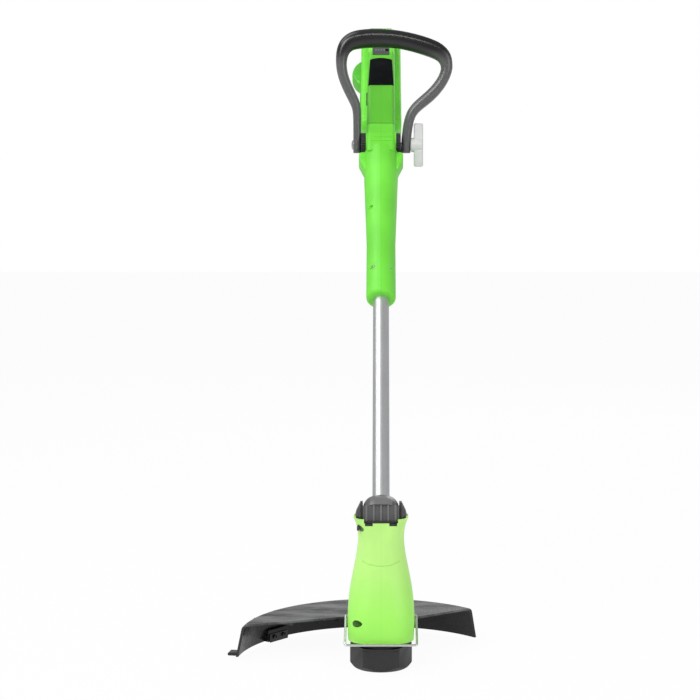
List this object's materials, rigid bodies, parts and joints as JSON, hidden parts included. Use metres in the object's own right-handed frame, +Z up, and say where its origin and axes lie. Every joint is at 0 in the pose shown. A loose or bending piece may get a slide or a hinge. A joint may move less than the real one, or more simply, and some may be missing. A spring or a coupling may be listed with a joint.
{
  "type": "string trimmer",
  "caption": "Cordless string trimmer with a leaning aluminium shaft, tilting green motor head, bump feed spool under a curved guard, edge guide wire, loop handle and rear grip with battery.",
  "frame": {"origin": "centre of the flat underside of the spool cap, where the trimmer stands on the ground", "axes": "+Z up along the spool axis, +Y back towards the operator, +X to the right hand side when the trimmer is seen from the front"},
  "size_m": [0.3226, 0.8279, 0.8604],
  "materials": {
    "green_shell": "satin lime green moulding",
    "black_plastic": "fine grained black moulding",
    "grey_knob": "light grey moulding",
    "soft_pad": "soft dark overmoulding",
    "grey_window": "smoked window",
    "tube_aluminium": "brushed along its length",
    "bright_steel": "bright drawn wire",
    "steel": "plain zinc plated",
    "motor_steel": "rolled can",
    "brass_fitting": "turned",
    "line_green": "drawn nylon line",
    "board": "solder masked board",
    "cell_sleeve": "shrink sleeve",
    "cable_sheath": "smooth sheath"
  },
  "bodies": {
    "shaft_and_grip": {"shaft_tube": "tube_aluminium", "power_cable": "cable_sheath", "cable_clamp": "black_plastic", "tilt_knuckle": "black_plastic", "grip_housing_left": "green_shell", "grip_housing_right": "green_shell", "housing_screws": "steel", "grip_pad": "soft_pad", "charge_gauge": "grey_window", "loop_bolt": "steel", "trigger_pin": "steel", "trigger_spring": "steel", "power_switch": "black_plastic", "lock_off_spring": "steel", "control_board": "board", "terminal_block": "black_plastic", "latch_pin": "steel"},
    "head": {"tilt_fork": "black_plastic", "tilt_pin": "steel", "motor_housing_left": "green_shell", "motor_housing_right": "green_shell", "head_screws": "steel", "motor_can": "motor_steel", "motor_magnets": "motor_steel", "motor_end_cap": "black_plastic", "lower_bearing": "steel", "upper_bearing": "steel", "mounting_plate": "steel", "motor_screws": "steel", "motor_leads": "cable_sheath", "guard": "black_plastic", "guard_screws": "steel", "line_cutter": "steel", "cutter_screws": "steel", "tilt_lock_spring": "steel"},
    "spool": {"rotor": "motor_steel", "cooling_fan": "black_plastic", "drive_hub": "black_plastic", "spool_base": "black_plastic", "spool_cap": "black_plastic", "line_eyelets": "brass_fitting", "spool_reel": "black_plastic", "wound_line": "line_green", "spool_spring": "steel"},
    "edge_guide": {"edge_guide_wire": "bright_steel"},
    "tilt_lock": {"tilt_lock_button": "black_plastic"},
    "loop": {"loop_handle": "black_plastic", "loop_disc_left": "black_plastic", "loop_disc_right": "black_plastic"},
    "knob": {"clamp_knob": "grey_knob", "knob_nut": "steel"},
    "trigger": {"trigger": "black_plastic"},
    "lock_off": {"lock_off_button": "black_plastic"},
    "battery": {"battery_case_upper": "black_plastic", "battery_case_lower": "black_plastic", "battery_cells": "cell_sleeve"},
    "latch": {"battery_latch": "green_shell"}
  },
  "joints": [
    {"name": "head_tilt", "type": "hinge", "parent": "shaft_and_grip", "child": "head", "pos_m": [0, 0, 0.188], "axis": [1, 0, 0], "range_deg": [-30, 30]},
    {"name": "spool_spin", "type": "hinge", "parent": "head", "child": "spool", "pos_m": [0, 0, 0], "axis": [0, 0, 1], "continuous": true},
    {"name": "edge_guide_flip", "type": "hinge", "parent": "head", "child": "edge_guide", "pos_m": [0, 0, 0.064], "axis": [1, 0, 0], "range_deg": [-60, 0]},
    {"name": "tilt_lock_press", "type": "slide", "parent": "head", "child": "tilt_lock", "axis": [0, -1, 0], "range_m": [0, 0.0035], "stiffness_N_per_m": 500, "springref_m": -0.003, "deforming": ["tilt_lock_spring"]},
    {"name": "loop_tilt", "type": "hinge", "parent": "shaft_and_grip", "child": "loop", "pos_m": [0, 0.47942, 0.66742], "axis": [1, 0, 0], "range_deg": [-20, 40]},
    {"name": "knob_turn", "type": "hinge", "parent": "shaft_and_grip", "child": "knob", "pos_m": [0, 0.47942, 0.66742], "axis": [1, 0, 0], "continuous": true},
    {"name": "trigger_pull", "type": "hinge", "parent": "shaft_and_grip", "child": "trigger", "pos_m": [0, 0.54164, 0.71126], "axis": [1, 0, 0], "range_deg": [0, 7], "stiffness_Nm_per_rad": 0.6, "springref_deg": -8.59, "deforming": ["trigger_spring"]},
    {"name": "lock_off_push", "type": "slide", "parent": "shaft_and_grip", "child": "lock_off", "axis": [1, 0, 0], "range_m": [0, 0.003], "stiffness_N_per_m": 400, "springref_m": -0.003, "deforming": ["lock_off_spring"]},
    {"name": "battery_slide", "type": "slide", "parent": "shaft_and_grip", "child": "battery", "axis": [0, 0.7071, 0.7071], "range_m": [0, 0.12]},
    {"name": "battery_latch_press", "type": "hinge", "parent": "shaft_and_grip", "child": "latch", "pos_m": [-0.0325, 0.67953, 0.74449], "axis": [0, 0.7071, -0.7071], "range_deg": [-12, 0], "stiffness_Nm_per_rad": 0.5, "springref_deg": 8.59}
  ]
}
